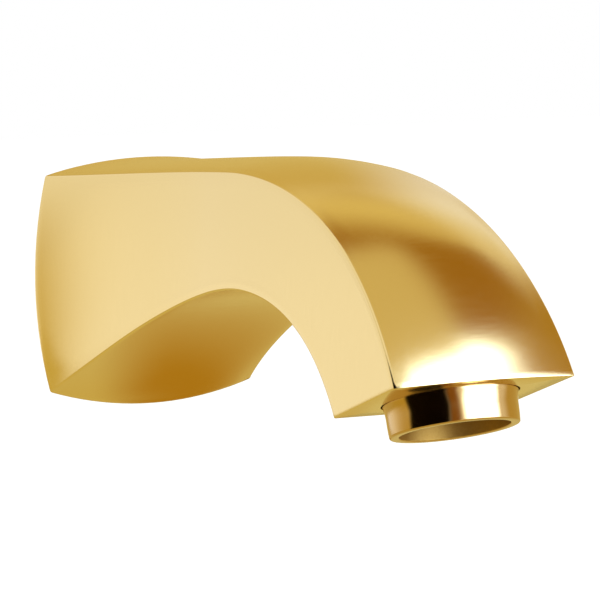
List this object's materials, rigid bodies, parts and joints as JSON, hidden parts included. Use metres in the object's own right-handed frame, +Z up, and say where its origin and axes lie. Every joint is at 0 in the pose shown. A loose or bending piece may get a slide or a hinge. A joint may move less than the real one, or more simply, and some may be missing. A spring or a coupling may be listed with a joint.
{
  "type": "bath spout",
  "caption": "Wall mounted bath spout with a bowed square flange, an arched waisted neck and a tilted round outlet ring that pours water down into the bath.",
  "frame": {"origin": "middle of the inlet's mouth, on the wall plane at the flange's back", "axes": "+Y into the wall along the inlet, -Y out over the bath, +Z up, +X to the right for someone who faces the wall"},
  "size_m": [0.0674, 0.2117, 0.0746],
  "materials": {
    "satin_gold": "satin gold plated cast brass",
    "polished_gold": "polished gold plated brass",
    "raw_brass": "turned, unplated",
    "insert_plastic": "moulded acetal",
    "diffuser_plastic": "moulded acetal",
    "mesh_steel": "stainless mesh in a pressed rim",
    "seal_rubber": "moulded rubber",
    "foam": "closed cell foam"
  },
  "bodies": {
    "root": {"spout_body": "satin_gold", "outlet_ring": "polished_gold", "insert_cup": "insert_plastic", "diffuser_disc": "diffuser_plastic", "strainer": "mesh_steel", "outlet_seal": "seal_rubber", "inlet_bush": "raw_brass", "inlet_seal": "seal_rubber", "wall_gasket": "foam"}
  },
  "joints": []
}
